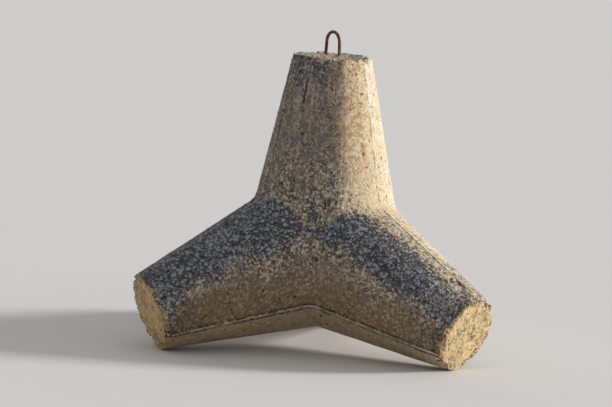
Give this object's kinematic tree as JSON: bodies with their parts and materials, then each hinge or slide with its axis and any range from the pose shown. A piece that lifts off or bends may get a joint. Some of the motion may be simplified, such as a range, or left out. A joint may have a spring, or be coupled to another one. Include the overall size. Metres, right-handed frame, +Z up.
{
  "type": "concrete tetrapod",
  "caption": "Cast concrete breakwater armour unit of tapered legs spread evenly in space, with mould seam ribs and a bent steel lifting loop at the top.",
  "frame": {"origin": "the point where the axes of the four legs meet, which is the middle of the concrete", "axes": "+Z up along the upright leg, +X over one of the lower legs, +Y by the right-hand rule; it rests on the rims of the three lower legs"},
  "size_m": [2.1726, 2.439, 2.1545],
  "materials": {
    "weathered_concrete": "matte",
    "rusted_steel": "matte"
  },
  "bodies": {
    "root": {"concrete_body": "weathered_concrete", "lifting_loop": "rusted_steel"}
  },
  "joints": []
}
